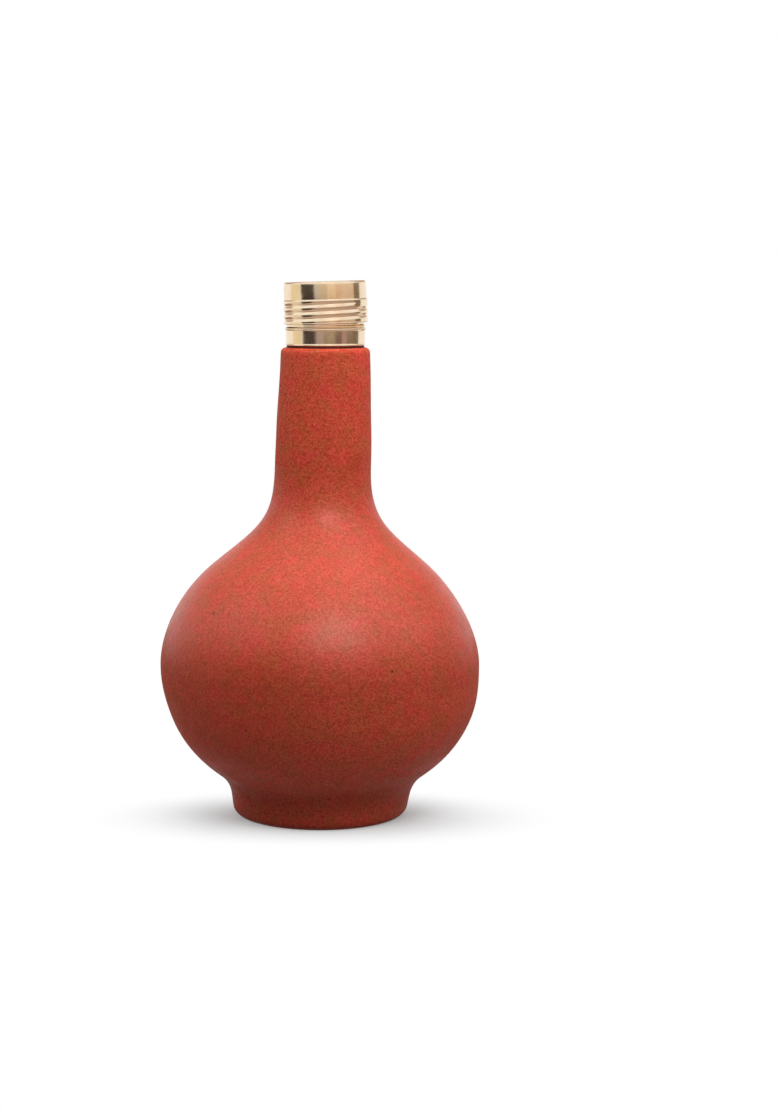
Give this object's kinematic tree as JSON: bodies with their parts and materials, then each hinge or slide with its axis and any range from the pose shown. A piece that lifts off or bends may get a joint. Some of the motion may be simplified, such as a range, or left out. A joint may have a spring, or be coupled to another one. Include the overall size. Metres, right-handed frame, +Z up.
{
  "type": "clay water bottle",
  "caption": "Long-necked unglazed clay water bottle with a round belly, a flared foot, a threaded metal neck ring and a metal screw cap over a sealing disc.",
  "frame": {"origin": "centre of the foot's flat underside, on the surface that the bottle stands on", "axes": "+Z up along the bottle's axis of revolution, from the foot to the cap; X and Y are alike"},
  "size_m": [0.141, 0.141, 0.235],
  "materials": {
    "clay": "matte unglazed",
    "bedding": "matte",
    "ring_metal": "polished",
    "seal": "matte",
    "cap_metal": "polished"
  },
  "bodies": {
    "bottle": {"clay_bottle": "clay", "ring_adhesive": "bedding", "neck_ring": "ring_metal"},
    "liner": {"cap_liner": "seal"},
    "cap": {"screw_cap": "cap_metal"}
  },
  "joints": [
    {"name": "cap_lift", "type": "slide", "parent": "bottle", "child": "liner", "axis": [0, 0, 1], "range_m": [0, 0.02321]},
    {"name": "cap_turn", "type": "hinge", "parent": "liner", "child": "cap", "pos_m": [0, 0, 0.226], "axis": [0, 0, 1], "range_deg": [0, 2880]}
  ],
  "couplings": [
    {"joint": "cap_lift", "follows": "cap_turn", "m_per_rad": 0.00046155}
  ]
}
